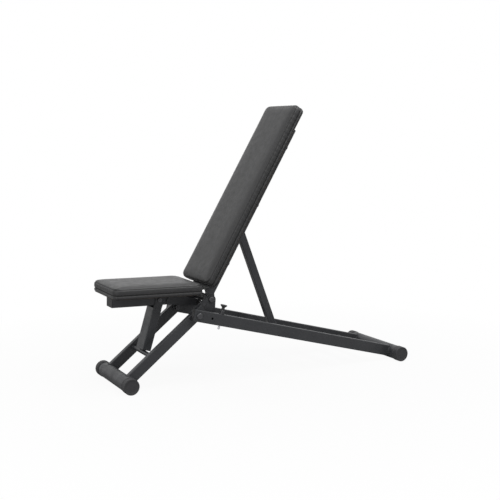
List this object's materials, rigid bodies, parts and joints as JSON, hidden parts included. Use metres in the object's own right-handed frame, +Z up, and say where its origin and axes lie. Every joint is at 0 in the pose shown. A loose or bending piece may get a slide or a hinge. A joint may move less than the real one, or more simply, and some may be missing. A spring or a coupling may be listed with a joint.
{
  "type": "adjustable weight bench",
  "caption": "Folding weight bench with a reclining backrest, a propped seat, hinged leg frames and round feet.",
  "frame": {"origin": "on the floor, midway between the foremost and rearmost points, on the mid-plane", "axes": "+X from the front foot to the rear foot, +Y across the bench, +Z up; a seated person faces -X and their left is -Y"},
  "size_m": [1.2548, 0.381, 1.0525],
  "materials": {
    "frame_paint": "fine textured black powder coat",
    "cap_rubber": "matt",
    "black_plastic": "moulded, matt",
    "nylon": "black nylon",
    "black_fasteners": "black zinc",
    "bare_steel": "zinc plated",
    "plywood": "plywood, unfinished",
    "upholstery": "black grained vinyl with stitched seams"
  },
  "bodies": {
    "rear_frame": {"rail_left": "frame_paint", "rail_right": "frame_paint", "lock_pin_guide": "frame_paint", "rail_end_plugs": "black_plastic", "backrest_rungs": "frame_paint", "fold_bolts": "black_fasteners", "fold_nuts": "black_fasteners", "fold_washers": "nylon", "rear_foot_tube": "frame_paint", "rear_foot_cap_left": "cap_rubber", "rear_foot_cap_right": "cap_rubber"},
    "lock_pin": {"lock_pin": "bare_steel", "lock_pin_knob": "black_plastic"},
    "leg_frame": {"front_foot_tube": "frame_paint", "front_foot_cap_left": "cap_rubber", "front_foot_cap_right": "cap_rubber", "leg_left": "frame_paint", "leg_right": "frame_paint", "leg_end_plugs": "black_plastic", "hinge_plate_left": "frame_paint", "hinge_plate_right": "frame_paint", "seat_rung": "frame_paint", "seat_axle": "black_fasteners", "backrest_axle": "black_fasteners", "backrest_axle_nut": "black_fasteners", "backrest_washers": "nylon"},
    "seat": {"seat_beam": "frame_paint", "seat_beam_plug": "black_plastic", "seat_lugs": "frame_paint", "seat_pivot_bush": "nylon", "seat_spacers": "nylon", "seat_mount_plates": "frame_paint", "seat_screws": "black_fasteners", "seat_board": "plywood", "seat_pad": "upholstery", "seat_strut_bolt": "black_fasteners", "seat_strut_nut": "black_fasteners"},
    "seat_strut": {"seat_strut": "frame_paint"},
    "backrest": {"backrest_tube_left": "frame_paint", "backrest_tube_right": "frame_paint", "backrest_cross_tubes": "frame_paint", "backrest_tube_plugs": "black_plastic", "backrest_lugs": "frame_paint", "backrest_pivot_sleeve": "frame_paint", "backrest_strut_ears": "frame_paint", "backrest_strut_bolt": "black_fasteners", "backrest_strut_nut": "black_fasteners", "backrest_screws": "black_fasteners", "backrest_board": "plywood", "backrest_pad": "upholstery"},
    "backrest_strut": {"backrest_strut": "frame_paint", "backrest_strut_plug": "black_plastic"}
  },
  "joints": [
    {"name": "frame_fold", "type": "hinge", "parent": "rear_frame", "child": "leg_frame", "pos_m": [-0.29498, 0, 0.26036], "axis": [0, 1, 0], "range_deg": [-116, 0]},
    {"name": "seat_lift", "type": "hinge", "parent": "leg_frame", "child": "seat", "pos_m": [-0.25445, 0, 0.2945], "axis": [0, 1, 0], "range_deg": [0, 8]},
    {"name": "seat_strut_swing", "type": "hinge", "parent": "seat", "child": "seat_strut", "pos_m": [-0.41515, 0, 0.3165], "axis": [0, 1, 0], "range_deg": [-8, 0]},
    {"name": "backrest_tilt", "type": "hinge", "parent": "leg_frame", "child": "backrest", "pos_m": [-0.22645, 0, 0.3115], "axis": [0, 1, 0], "range_deg": [0, 60]},
    {"name": "backrest_strut_swing", "type": "hinge", "parent": "backrest", "child": "backrest_strut", "pos_m": [-0.07432, 0, 0.59453], "axis": [0, 1, 0], "range_deg": [-98, 0]},
    {"name": "lock_pin_pull", "type": "slide", "parent": "rear_frame", "child": "lock_pin", "axis": [0.25, 0, 0.9682], "range_m": [0, 0.04]}
  ],
  "couplings": [
    {"joint": "seat_strut_swing", "follows": "seat_lift", "ratio": -1},
    {"joint": "backrest_strut_swing", "follows": "backrest_tilt", "ratio": -1.61}
  ]
}
